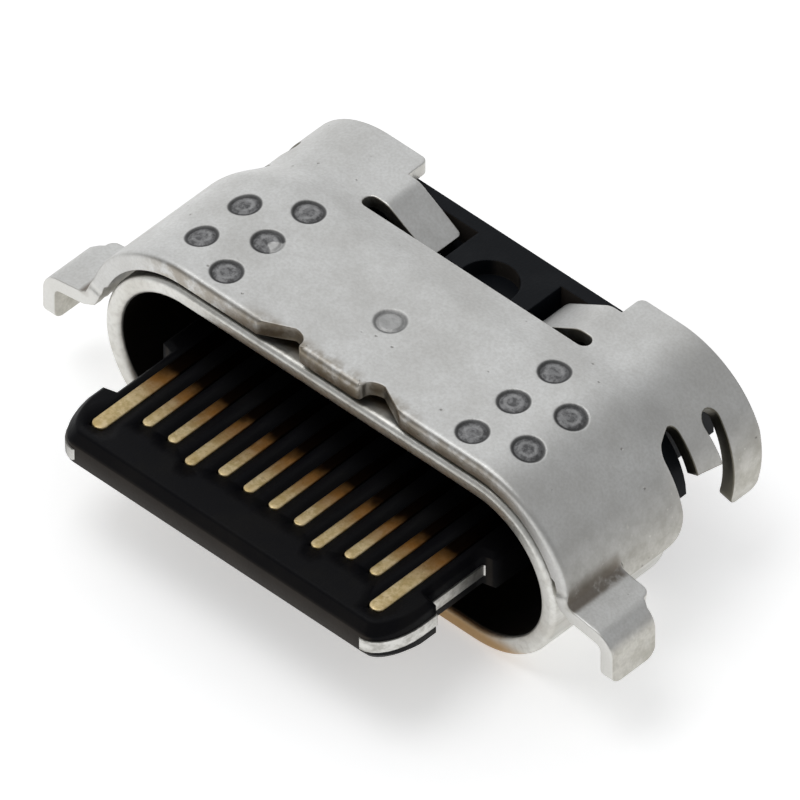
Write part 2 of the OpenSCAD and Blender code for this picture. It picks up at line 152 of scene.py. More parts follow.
TONGUE_X = 3.3
TONGUE_T = 0.7
CORNER_A = 0.45  # half-axes of the blade's elliptic corners
CORNER_B = 0.8
LEAD_Y = 0.15  # the lead-in chamfer at the tip: its width and height
LEAD_Z = 0.19
SIDE_LEAD = 0.08  # the same chamfer along the sides
LATCH_IN = 0.22
LATCH_Y = 1.1
LATCH_LEN = 1.2
LATCH_SLOPE = 0.06
BASE_Y = 1.05  # the thick base of the blade
BASE_T = 1.1
BASE_IN = 0.1
WALL_Y = 1.95  # the wall that closes the shell
FIT = 0.02  # gap between that wall and the shell
SEAT = 0.1  # how far one part of the moulding runs into the next

PITCH = 0.5
GROUND_W = 0.26
SIGNAL_W = 0.2
CONTACT_T = 0.12
CONTACT_ROUND = 0.022
CONTACT_BEND = 0.07  # radius of the contacts' middle line in each bend
PROUD = 0.02  # how far the contacts stand out of the blade
GROUND_SET = 0.35  # from the tip to the ground, supply and signal contacts
SUPPLY_SET = 0.7
SIGNAL_SET = 0.87
GROOVE_ROUND = 0.05
CLEAR = 0.01  # gap between a contact and its groove
RISER_GAP = 0.05  # gap between the moulding and the upper row's risers
TAIL_RUN = 0.5  # length of the upper row's feet
UNDER_RUN = 0.75  # length of the lower row's feet

# ---- Sizes of the mesh cells ----

RIM_CELL = 0.09
SHEET_CELL = 0.085
BLADE_RIM_CELL = 0.2
PLASTIC_CELL = 0.25
BOX_RIM_CELL = 0.4
STRIP_CELL = 0.05
SAME_POINT = 1e-4  # points of an outline closer than this are one
MERGE = 2e-4  # points of a mesh closer than this are merged


# ---- Outlines ----

def arc(cx, cy, a, b, start, end, steps=10):
    """Points of an ellipse's arc: the centre plus (a cos t, b sin t), with t from start to end
    in degrees."""
    t = np.radians(np.linspace(start, end, steps + 1))
    return np.stack([cx + a * np.cos(t), cy + b * np.sin(t)], -1)


def chain(*parts):
    """Joins points and runs of points into one outline, and leaves out points that repeat."""
    line = np.concatenate([np.reshape(np.asarray(p, float), (-1, 2)) for p in parts])
    apart = np.linalg.norm(line - np.roll(line, 1, 0), axis=1) > SAME_POINT
    return line[apart]


def mirrored(half):
    """A closed outline from its right half, which runs from the middle of the front to the
    middle of the rear: the left half is the right one with x turned round, run backwards."""
    left = half[::-1] * (-1, 1)
    return chain(half, left)


def refined(loop, spacing):
    """The same closed outline with every side cut into equal pieces no longer than spacing."""
    ahead = np.roll(loop, -1, 0)
    count = np.maximum(1, np.ceil(np.linalg.norm(ahead - loop, axis=1) / spacing)).astype(int)
    side = np.repeat(np.arange(len(loop)), count)
    step = np.arange(count.sum()) - np.repeat(np.cumsum(count) - count, count)
    share = (step / count[side])[:, None]
    return loop[side] * (1 - share) + ahead[side] * share


def inward(loop):
    """At each point of an anticlockwise outline, the way in: the sum of both sides' left-hand
    normals, made long enough that both move in by one, with a limit at sharp corners."""
    side = np.roll(loop, -1, 0) - loop
    side /= np.linalg.norm(side, axis=1, keepdims=True)
    normal = np.stack([-side[:, 1], side[:, 0]], -1)
    both = normal + np.roll(normal, 1, 0)
    square = np.maximum(np.sum(both * both, axis=1, keepdims=True), 1.0)
    return 2 * both / square


def inside(points, loop):
    """True for each point that a closed outline holds: a ray from it crosses an odd number of
    sides."""
    ahead = np.roll(loop, -1, 0)
    x, y = points[:, :1], points[:, 1:]
    spans = (loop[:, 1] > y) != (ahead[:, 1] > y)
    rise = np.where(ahead[:, 1] == loop[:, 1], 1e-12, ahead[:, 1] - loop[:, 1])
    crossing = loop[:, 0] + (y - loop[:, 1]) / rise * (ahead[:, 0] - loop[:, 0])
    return np.sum(spans & (x < crossing), axis=1) % 2 == 1


def gap_to(points, loop):
    """The distance from each point to the nearest side of a closed outline."""
    side = np.roll(loop, -1, 0) - loop
    reach = points[:, None] - loop
    share = np.clip(np.sum(reach * side, -1) / np.sum(side * side, -1), 0, 1)[..., None]
    return np.min(np.linalg.norm(reach - share * side, axis=-1), axis=1)


def filled(loops, spacing, extra=None):
    """Points and triangles that fill the first outline outside the others: a triangular lattice
    of the given spacing, with the outlines as fixed edges. extra holds points to add and the
    clearings that they need, as (x, y, radius)."""
    outer = loops[0]
    row_step, keep_off = 0.866 * spacing, 0.45 * spacing
    low, high = outer.min(0), outer.max(0)
    rows = np.arange(low[1], high[1], row_step)
    columns = np.arange(low[0], high[0], spacing)
    x, y = np.meshgrid(columns, rows)
    x = x + (np.arange(len(rows)) % 2)[:, None] * spacing / 2
    lattice = np.stack([x.ravel(), y.ravel()], -1)
    keep = inside(lattice, outer)
    for loop in loops:
        near = keep.nonzero()[0]
        keep[near] = gap_to(lattice[near], loop) > keep_off
    if extra is not None:
        points, clearings = extra
        apart = np.linalg.norm(lattice[:, None] - clearings[:, :2], axis=-1) > clearings[:, 2]
        keep &= apart.all(1)
    lattice = lattice[keep]
    if extra is not None:
        lattice = np.concatenate([lattice, points])
    edges = []
    first = 0
    for loop in loops:
        step = np.arange(len(loop))
        edges += (first + np.stack([step, (step + 1) % len(loop)], -1)).tolist()
        first += len(loop)
    flat = np.concatenate(list(loops) + [lattice])
    points, _, faces, _, _, _ = delaunay_2d_cdt(flat.tolist(), edges, [], 1, 1e-6)
    points = np.array([tuple(p) for p in points])
    faces = np.array(faces)
    middle = points[faces].mean(1)
    within = inside(middle, outer)
    for loop in loops[1:]:
        within &= ~inside(middle, loop)
    return points, faces[within]


# ---- Surfaces ----

def ring_faces(rows, columns, closed_rows=False):
    """Quads of a grid whose columns close on themselves, and whose rows may."""
    last = rows if closed_rows else rows - 1
    i, j = np.meshgrid(np.arange(last), np.arange(columns), indexing="ij")
    a = i * columns + j
    b = i * columns + (j + 1) % columns
    c = (i + 1) % rows * columns + (j + 1) % columns
    d = (i + 1) % rows * columns + j
    return np.stack([a, b, c, d], -1).reshape(-1, 4)


def folded_line(start, heading, parts, step=0.002):
    """A line that is straight or turns steadily, part by part. Each part is (length, turn in
    radians). Gives a table of distance, place and heading: the heading is the running sum of the
    turning, and the place is the running sum of the heading's cosine and sine."""
    counts = [max(1, round(length / step)) for length, _ in parts]
    length = np.concatenate([np.full(n, run / n) for n, (run, _) in zip(counts, parts)])
    turn = np.concatenate([np.full(n, bend / n) for n, (_, bend) in zip(counts, parts)])
    after = heading + np.cumsum(turn)
    middle = after - turn / 2
    move = np.stack([np.cos(middle), np.sin(middle)], -1) * length[:, None]
    distance = np.concatenate([[0], np.cumsum(length)])
    place = np.concatenate([[start], start + np.cumsum(move, 0)])
    return distance, place, np.concatenate([[heading], after])


def along(line, distance, depth):
    """Points at a distance along a folded line, set off by depth to the right of its heading."""
    table, place, heading = line
    x = np.interp(distance, table, place[:, 0])
    y = np.interp(distance, table, place[:, 1])
    turn = np.interp(distance, table, heading)
    return x + depth * np.sin(turn), y - depth * np.cos(turn)


def finished(name, mesh, material, nodes):
    """Shades a mesh smooth, gives it its material and puts it on the body in its nodes' place."""
    mesh.shade_smooth()
    mesh.materials.append(material)
    obj = bpy.data.objects.new(name, mesh)
    bpy.context.scene.collection.objects.link(obj)
    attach(obj, "root")
    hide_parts(*nodes)


def piece(name, material, shells, nodes, attributes=()):
    """Makes one piece from shells of (points, faces, attribute values), with points in
    millimetres. Points that meet are merged."""
    mesh = bpy.data.meshes.new(name)
    starts = np.cumsum([0] + [len(points) for points, _, _ in shells])
    points = np.concatenate([s[0] for s in shells])
    faces = []
    for start, (_, own, _) in zip(starts, shells):
        faces += (np.asarray(own) + start).tolist()
    mesh.from_pydata(points * MM, [], faces)
    for number, label in enumerate(attributes):
        values = np.concatenate([np.broadcast_to(s[2][number], len(s[0])) for s in shells])
        layer = mesh.attributes.new(label, "FLOAT", "POINT")
        layer.data.foreach_set("value", values.astype(np.float32))
    work = bmesh.new()
    work.from_mesh(mesh)
    bmesh.ops.remove_doubles(work, verts=work.verts, dist=MERGE * MM)
    work.to_mesh(mesh)
    work.free()
    finished(name, mesh, material, nodes)


def rim_rings(loop, top_round, low_round, thickness, steps=3):
    """The edge of a sheet, as rings of (inset points, depth): a flat support ring, a quarter
    round from the upper face, a quarter round to the lower face, and a support ring again. At
    the angle t a round of radius r is set in by r (1 - sin t) and down by r (1 - cos t)."""
    way = inward(loop)
    top = np.broadcast_to(top_round, len(loop))
    low = np.broadcast_to(low_round, len(loop))
    rings = [(top + SUPPORT, np.zeros(len(loop)))]
    turns = np.linspace(0, math.pi / 2, steps + 1)
    rings += [(top * (1 - math.sin(t)), top * (1 - math.cos(t))) for t in turns]
    rings += [(low * (1 - math.cos(t)), thickness - low * (1 - math.sin(t))) for t in turns]
    rings += [(low + SUPPORT, np.full(len(loop), thickness))]
    return [(loop + way * inset[:, None], depth) for inset, depth in rings]


# ---- Materials ----

class Wire:
    """One socket of a shader. An expression on wires adds the Math nodes that work it out."""

    def __init__(self, builder, socket):
        self.builder = builder
        self.socket = socket

    def _math(self, operation, a, b):
        return self.builder.node("ShaderNodeMath", {"operation": operation}, {0: a, 1: b})

    def __add__(self, other):
        return self._math("ADD", self, other)

    def __radd__(self, other):
        return self._math("ADD", other, self)

    def __sub__(self, other):
        return self._math("SUBTRACT", self, other)

    def __rsub__(self, other):
        return self._math("SUBTRACT", other, self)

    def __mul__(self, other):
        return self._math("MULTIPLY", self, other)

    def __rmul__(self, other):
        return self._math("MULTIPLY", other, self)


class Nodes:
    """A node tree under construction."""

    def __init__(self, tree):
        self.tree = tree

    def node(self, kind, settings, sockets, output=0):
        """Adds a node: its settings first, then the value or wire of each socket."""
        node = self.tree.nodes.new(kind)
        for key, value in settings.items():
            setattr(node, key, value)
        for key, value in sockets.items():
            self.plug(node.inputs[key], value)
        return Wire(self, node.outputs[output])

    def plug(self, socket, value):
        if isinstance(value, Wire):
            self.tree.links.new(value.socket, socket)
        else:
            socket.default_value = value

    def step(self, value, low, high, start=0.0, end=1.0):
        """A smooth step: start below low, end above high."""
        settings = {"interpolation_type": "SMOOTHSTEP"}
        sockets = {"Value": value, "From Min": low, "From Max": high, "To Min": start,
                   "To Max": end}
        return self.node("ShaderNodeMapRange", settings, sockets, "Result")

    def fall(self, value, low, high):
        """A smooth step down: 1 below low, 0 above high."""
        return self.step(value, low, high, 1.0, 0.0)

    def band(self, value, low, full, fade, high):
        """1 from full to fade, and 0 below low and above high."""
        return self.step(value, low, full) * self.fall(value, fade, high)

    def blend(self, share, first, second):
        """A colour from first to second as share goes from 0 to 1."""
        sockets = {0: share, 6: first, 7: second}
        return self.node("ShaderNodeMix", {"data_type": "RGBA"}, sockets, 2)

    def part(self, vector, axis):
        return self.node("ShaderNodeSeparateXYZ", {}, {0: vector}, axis)

    def towards(self, way, other):
        """The cosine of the angle between two directions of length one."""
        dot = {"operation": "DOT_PRODUCT"}
        return self.node("ShaderNodeVectorMath", dot, {0: way, 1: other}, 1)


class Finish(Nodes):
    """A material under construction, with its Principled shader and coordinates in millimetres."""

    def __init__(self, name, metallic=0.0, roughness=0.5, ior=1.5):
        self.material = bpy.data.materials.new(name)
        self.material.use_nodes = True
        super().__init__(self.material.node_tree)
        self.shader = self.tree.nodes["Principled BSDF"]
        self.feed(Metallic=metallic, Roughness=roughness, IOR=ior)
        place = self.node("ShaderNodeTexCoord", {}, {}, "Object")
        scaled = {0: place, 3: 1 / MM}
        self.place = self.node("ShaderNodeVectorMath", {"operation": "SCALE"}, scaled)

    def feed(self, **inputs):
        """Plugs wires or values into the shader; an underscore stands for a space."""
        for key, value in inputs.items():
            self.plug(self.shader.inputs[key.replace("_", " ")], value)

    def noise(self, scale, detail=2.0, rough=0.5, place=None):
        """Noise with the given number of waves to a millimetre, from 0 to 1."""
        sockets = {"Vector": place or self.place, "Scale": scale, "Detail": detail,
                   "Roughness": rough}
        return self.node("ShaderNodeTexNoise", {}, sockets, "Fac")

    def stretched(self, x, y, z):
        """The place with each axis scaled, for a grain or scratches that run one way."""
        sockets = {0: self.place, 1: (x, y, z)}
        return self.node("ShaderNodeVectorMath", {"operation": "MULTIPLY"}, sockets)

    def cells(self, scale):
        """Distance to the nearest of scattered points, in units of their spacing."""
        sockets = {"Vector": self.place, "Scale": scale}
        return self.node("ShaderNodeTexVoronoi", {}, sockets, "Distance")

    def attribute(self, name):
        return self.node("ShaderNodeAttribute", {"attribute_name": name}, {}, "Fac")

    def facing(self, axis):
        """How far the surface faces up an axis of the frame, from -1 to 1."""
        return self.part(self.node("ShaderNodeNewGeometry", {}, {}, "Normal"), axis)

    def bump(self, height, distance, edge=0.0):
        """Feeds the surface's normal from a height in units of distance millimetres. With an edge
        radius the sharp edges are shaded as if they were rounded."""
        sockets = {"Strength": 1.0, "Distance": distance * MM, "Height": height}
        if edge:
            sockets["Normal"] = self.node("ShaderNodeBevel", {}, {"Radius": edge * MM})
        self.feed(Normal=self.node("ShaderNodeBump", {}, sockets))


def rgb(r, g, b):
    return (r, g, b, 1.0)


def cover_finish():
    """Satin plated steel sheet: soft clouds, a fine grain, pits and specks, sides duller and olive
    by painted shade and paler lower down by a painted reflection of the floor, bright cut edges
    but dark ones in the side slots, dark mottled weld spots with a ring, brown stains with painted
    shade at the front seam, brown stains beside the stub, and dirt with painted shade in the
    wings' creases. Where both sides match, the pattern reads across, the square of x."""
    f = Finish("cover_steel", metallic=1.0)
    x, y, z = (f.part(f.place, axis) for axis in "XYZ")
    across = x * x
    front = f.fall(f.facing("Y"), -0.8, -0.5)
    side = f.fall(f.facing("Z"), 0.1, 0.8) * (1.0 - front)
    low = f.fall(z, -0.2, 1.0)
    cloud = f.noise(0.9, 3.0)
    grain = f.noise(22.0, 2.0)
    mottle = f.noise(3.2, 4.0, 0.65)
    blotch = f.step(mottle, 0.35, 0.68)
    pits = f.fall(f.cells(2.6), 0.03, 0.07)
    specks = f.step(f.noise(9.0, 1.0), 0.7, 0.76)
    colour = f.blend(f.step(cloud, 0.35, 0.7), rgb(0.69, 0.69, 0.68), rgb(0.6, 0.595, 0.58))
    colour = f.blend(f.step(mottle, 0.3, 0.7) * 0.4, colour, rgb(0.55, 0.545, 0.53))
    # Painted shade: faces that don't look up or forwards turn duller and olive, and lower down
    # paler, a painted reflection of the floor.
    side_shade_colour = f.blend(blotch, rgb(0.32, 0.31, 0.29), rgb(0.21, 0.2, 0.175))
    pale = f.blend(blotch, rgb(0.72, 0.7, 0.64), rgb(0.54, 0.52, 0.455))
    colour = f.blend(side * 0.9, colour, f.blend(low * 0.8, side_shade_colour, pale))
    colour = f.blend(f.step(grain, 0.3, 0.7) * 0.22, colour, rgb(0.4, 0.39, 0.36))
    colour = f.blend(specks * side * 0.4, colour, rgb(0.75, 0.73, 0.68))
    colour = f.blend(pits * 0.6, colour, rgb(0.2, 0.19, 0.17))

    # Weld spots. The reach is the distance from a spot's centre in its own radii.
    reach = f.attribute("weld_reach")
    burn = f.attribute("weld_burn")
    patch = f.noise(11.0, 3.0, 0.7)
    spot = f.fall(reach, 0.86, 1.0) * burn
    ring = f.band(reach, 0.72, 0.84, 0.94, 1.06) * f.step(burn, 0.3, 1.0, 0.3, 0.85)
    dark = f.blend(f.step(patch, 0.38, 0.62), rgb(0.075, 0.075, 0.078), rgb(0.23, 0.23, 0.235))
    colour = f.blend(spot * 0.92, colour, dark)
    bright = f.band(reach, 0.3, 0.42, 0.5, 0.64) * burn * f.step(mottle, 0.35, 0.6)
    colour = f.blend(bright * 0.5, colour, rgb(0.45, 0.45, 0.45))
    colour = f.blend(ring, colour, rgb(0.07, 0.07, 0.07))

    # Stains on the roof beside the stub, and dirt with painted shade in the creases over the
    # wings.
    stain = f.fall(across, 1.2, 3.6) * f.fall(y, 0.08, 0.3) * f.step(mottle, 0.3, 0.6)
    colour = f.blend(stain * 0.65, colour, rgb(0.22, 0.175, 0.115))
    crease_dirt_and_shade = f.band(across, 21.9, 22.8, 23.6, 24.6) * f.fall(y, 1.0, 1.15)
    crease_dirt_and_shade = crease_dirt_and_shade * f.step(z, 0.28, 0.34) * f.step(mottle, 0.2, 0.5)
    colour = f.blend(crease_dirt_and_shade * 0.8, colour, rgb(0.13, 0.1, 0.07))

    # Cut edges: bright, dark in the side slots, brown stains with painted shade at the front seam,
    # and brown in the notches.
    edge = f.attribute("cut_edge")
    slot = f.step(y, 2.5, 2.7) * f.fall(z, 1.3, 1.5)
    trim = f.blend(slot, rgb(0.74, 0.73, 0.69), rgb(0.13, 0.12, 0.09))
    colour = f.blend(edge * (0.6 + slot * 0.35), colour, trim)
    # Brown stain with painted shade on the faces that look forwards, where the cover meets the
    # ring.
    joint_stain_and_shade = front * f.fall(across, 9.0, 15.0) * f.step(mottle, 0.3, 0.58)
    colour = f.blend(joint_stain_and_shade * 0.55, colour, rgb(0.24, 0.185, 0.11))
    notch = edge * f.band(across, 0.25, 0.5, 2.2, 3.6) * f.fall(y, 0.3, 0.5)
    colour = f.blend(notch * (0.5 + mottle * 0.5), colour, rgb(0.11, 0.08, 0.045))

    rough = 0.34 + grain * 0.12 + cloud * 0.12 + side * 0.04 + spot * 0.1 - edge * 0.08
    f.feed(Base_Color=colour, Roughness=rough)
    f.bump(grain * 0.35 + mottle * 0.3 - pits * 1.2 + patch * spot * 2.0, 0.006)
    return f.material


def shell_finish():
    """The drawn inner shell: satin steel outside, a brown painted reflection of the gold contacts
    on the lower lip, a brown stain with painted shade where the ring runs in under the cover, and
    painted shade that makes it black inside."""
    f = Finish("shell_steel", metallic=1.0)
    y, z = f.part(f.place, "Y"), f.part(f.place, "Z")
    cloud = f.noise(1.4, 3.0)
    grain = f.noise(20.0, 2.0)
    draw = f.noise(1.0, 3.0, 0.6, f.stretched(9.0, 0.7, 9.0))
    colour = f.blend(f.step(cloud, 0.35, 0.7), rgb(0.77, 0.765, 0.73), rgb(0.65, 0.635, 0.59))
    colour = f.blend(f.step(draw, 0.4, 0.75) * 0.3, colour, rgb(0.34, 0.32, 0.28))
    # Painted reflection: the lower lip turns brown with the gold contacts that it mirrors.
    painted_gold_reflection = f.fall(z, -1.4, -1.1) * f.fall(y, 0.1, 0.3)
    colour = f.blend(painted_gold_reflection * 0.85, colour, rgb(0.42, 0.23, 0.055))
    # Brown stain with painted shade, where the ring runs in under the cover's front edge.
    joint_stain_and_shade = f.step(y, 0.12, 0.3) * f.step(z, 0.6, 1.2)
    colour = f.blend(joint_stain_and_shade * 0.8, colour, rgb(0.33, 0.225, 0.115))
    # Painted shade: the mouth's wall behind the rounding is made nearly black.
    painted_mouth_shade = f.attribute("painted_mouth_shade")
    colour = f.blend(painted_mouth_shade, colour, rgb(0.02, 0.017, 0.014))
    f.feed(Base_Color=colour, Roughness=0.33 + grain * 0.14 + painted_mouth_shade * 0.2)
    f.bump(grain * 0.4 + draw * 0.5, 0.006)
    return f.material


def plate_finish():
    """Rolled spring steel of the middle plate and the shield plates: bright, streaked, and made
    nearly black at the left end by painted shade."""
    f = Finish("plate_steel", metallic=1.0)
    roll = f.noise(1.0, 4.0, 0.6, f.stretched(3.0, 7.0, 9.0))
    colour = f.blend(f.step(roll, 0.35, 0.7), rgb(0.7, 0.69, 0.66), rgb(0.45, 0.44, 0.41))
    # Painted shade: the plate's left end is made nearly black.
    painted_left_shade = f.fall(f.part(f.place, "X"), -3.1, -2.8)
    colour = f.blend(painted_left_shade * 0.9, colour, rgb(0.05, 0.044, 0.038))
    f.feed(Base_Color=colour, Roughness=0.3 + roll * 0.2)
    f.bump(roll, 0.004, edge=0.02)
    return f.material


def moulding_finish(name, base, dust):
    """Glass-filled black plastic: a fine moulded grain, faint dusty clouds, faces that look
    forwards browner by dust and a painted reflection of the warm floor, and inside the mouth
    blacker by painted shade and duller."""
    f = Finish(name, ior=1.45)
    f.feed(Specular_IOR_Level=0.1)
    cloud = f.noise(1.6, 4.0, 0.6)
    grain = f.noise(28.0, 2.0)
    fibre = f.noise(1.0, 2.0, 0.5, f.stretched(30.0, 4.0, 12.0))
    colour = f.blend(f.step(cloud, 0.4, 0.75) * 0.6, base, dust)
    colour = f.blend(f.step(fibre, 0.68, 0.8) * 0.3, colour, dust)
    # Dust and painted reflection: faces that look forwards turn browner.
    front = f.fall(f.facing("Y"), -0.95, -0.75)
    colour = f.blend(front * (0.4 + cloud * 0.6), colour, rgb(0.06, 0.051, 0.043))
    # Painted shade: inside the mouth the plastic is made nearly black.
    painted_mouth_darkness = f.band(f.part(f.place, "Y"), -0.4, 0.5, 2.4, 2.5)
    colour = f.blend(painted_mouth_darkness * 0.85, colour, rgb(0.0008, 0.0008, 0.001))
    f.feed(Base_Color=colour, Roughness=0.36 + grain * 0.16 + cloud * 0.08 + painted_mouth_darkness * 0.45)
    f.bump(grain * 0.6 + fibre * 0.5, 0.004, edge=0.03)
    return f.material


def contact_finish():
    """Gold over nickel: faint lengthwise wipe marks, worn patches and brown specks, and painted
    shade inside the mouth that turns it orange and then black."""
    f = Finish("contact_gold", metallic=1.0)
    wipe = f.noise(1.0, 3.0, 0.6, f.stretched(26.0, 1.6, 26.0))
    cloud = f.noise(3.0, 3.0)
    specks = f.step(f.noise(14.0, 2.0), 0.62, 0.72)
    worn = f.step(f.noise(9.0, 3.0, 0.7), 0.38, 0.66)
    colour = f.blend(f.step(cloud, 0.35, 0.7), rgb(0.74, 0.6, 0.36), rgb(0.58, 0.44, 0.22))
    colour = f.blend(f.step(wipe, 0.45, 0.75) * 0.35, colour, rgb(0.7, 0.62, 0.42))
    colour = f.blend(worn * 0.6, colour, rgb(0.4, 0.29, 0.1))
    colour = f.blend(specks * 0.45, colour, rgb(0.3, 0.2, 0.09))
    # Painted shade: further into the mouth the gold turns orange and then nearly black.
    back = f.part(f.place, "Y") + cloud * 0.4
    colour = f.blend(f.step(back, -1.05, -0.35) * 0.85, colour, rgb(0.3, 0.115, 0.015))
    painted_mouth_darkness = f.band(back, -0.42, -0.08, 2.6, 3.0)
    colour = f.blend(painted_mouth_darkness, colour, rgb(0.012, 0.006, 0.003))
    f.feed(Base_Color=colour, Roughness=0.34 + wipe * 0.16)
    f.bump(wipe + cloud * 0.4, 0.004)
    return f.material


COVER_STEEL = cover_finish()
SHELL_STEEL = shell_finish()
PLATE_STEEL = plate_finish()
TONGUE_PLASTIC = moulding_finish(
    "tongue_plastic", rgb(0.0028, 0.0028, 0.004), rgb(0.007, 0.0065, 0.006))
HOUSING_PLASTIC = moulding_finish(
    "housing_plastic", rgb(0.006, 0.0072, 0.0095), rgb(0.014, 0.0155, 0.018))
CONTACT_GOLD = contact_finish()


# ---- The outer cover: one blank, cut flat and folded by formula ----

# In the flat, q runs across: |q| up to CORNER_X is the roof, and beyond it the turn round the
# bend axis is (|q| - CORNER_X) / COVER_R. y stays the frame's own.

PLATE_TOP = SKIRT_Z + SHEET
ROOT_TURN = math.acos((PLATE_TOP - LIFT + BEND_R) / (COVER_R + BEND_R))
ROOT_Q = CORNER_X + COVER_R * ROOT_TURN
WING_X = CORNER_X + (COVER_R + BEND_R) * math.sin(ROOT_TURN)
ELBOW_R = BEND_R + SHEET
ROOT_BEND = ROOT_TURN - PLATE_TILT
ELBOW_BEND = math.pi / 2 - PLATE_TILT
PLATE_SIN, PLATE_COS = math.sin(PLATE_TILT), math.cos(PLATE_TILT)
PLATE_LEN = (SPAN_X - ELBOW_R - WING_X + (ELBOW_R + BEND_R) * PLATE_SIN) / PLATE_COS
PLATE_FALL = PLATE_LEN * PLATE_SIN + (ELBOW_R + BEND_R) * PLATE_COS - BEND_R
LEG_LENGTH = PLATE_TOP - PLATE_FALL - LEG_TIP
ELBOW_Q = ROOT_Q + BEND_R * ROOT_BEND + PLATE_LEN
LEG_Q = ELBOW_Q + ELBOW_R * ELBOW_BEND
TIP_Q = LEG_Q + LEG_LENGTH
FLAP_BEND = (BEND_R + SHEET) * FLAP_TILT
FLAP_Y = CUTOUT_Y + FLAP_SLOT
REAR_R = COVER_R - REAR_DROP

WING_LINE = folded_line(np.array([0.0, LIFT + COVER_R]), 0.0, [
    (CORNER_X, 0.0), (COVER_R * ROOT_TURN, -ROOT_TURN), (BEND_R * ROOT_BEND, ROOT_BEND),
    (PLATE_LEN, 0.0), (ELBOW_R * ELBOW_BEND, -ELBOW_BEND), (LEG_LENGTH, 0.0)])
FLAP_LINE = folded_line(np.array([-FLAP_BEND / 2, LIFT + REAR_R]), 0.0, [
    (FLAP_BEND, -FLAP_TILT), (FLAP_LEN, 0.0)])


def cover_radius(y):
    """The cover's outer radius at y: it steps down by REAR_DROP as a half cosine wave."""
    t = np.clip((y - JOGGLE_Y) / JOGGLE_LEN, 0, 1)
    return COVER_R - REAR_DROP * (1 - np.cos(math.pi * t)) / 2


def fold(q, y, depth):
    """Places points of the flat blank, at a depth below its outer face. The wall turns round the
    bend axis at its own radius, the wings follow WING_LINE, and the flaps FLAP_LINE. Towards the
    front edge the wall thickens inwards."""
    side, across = np.sign(q), np.abs(q)
    turn = np.maximum(across - CORNER_X, 0) / COVER_R
    swell = 1 + FRONT_SWELL * np.clip(1 - y / SWELL_LEN, 0, 1)
    radius = cover_radius(y) - depth * swell
    x = np.minimum(across, CORNER_X) + radius * np.sin(turn)
    z = LIFT + radius * np.cos(turn)
    wing = (across > ROOT_Q - ROOT_OVER) & (y < WING_END + SLIT / 2)
    wing_x, wing_z = along(WING_LINE, across, depth)
    flap = (across < FLAP_X + FLAP_BEND / 2) & (y > CUTOUT_Y + FLAP_SLOT / 2)
    past = FLAP_X + FLAP_BEND / 2 - across
    flap_x, flap_z = along(FLAP_LINE, past, depth)
    x = np.where(wing, wing_x, np.where(flap, FLAP_X - flap_x, x))
    z = np.where(wing, wing_z, np.where(flap, flap_z, z))
    return np.stack([side * x, y, z], -1)


def wall_q(y, z):
    """The flat place of a point of the side wall, from its side view."""
    return CORNER_X + COVER_R * np.arccos((z - LIFT) / cover_radius(np.asarray(y, float)))


def side_view(line):
    """Turns an outline drawn in side view, as (y, z), into the flat blank's (q, y)."""
    return np.stack([wall_q(line[:, 0], line[:, 1]), line[:, 0]], -1)


def upright(y, low, high, flare=0.0):
    """A run of side-view points from one height to another at y, its start further back by
    flare."""
    rise = np.linspace(0, 1, 12)
    return np.stack([y + flare * (1 - rise), low + (high - low) * rise], -1)


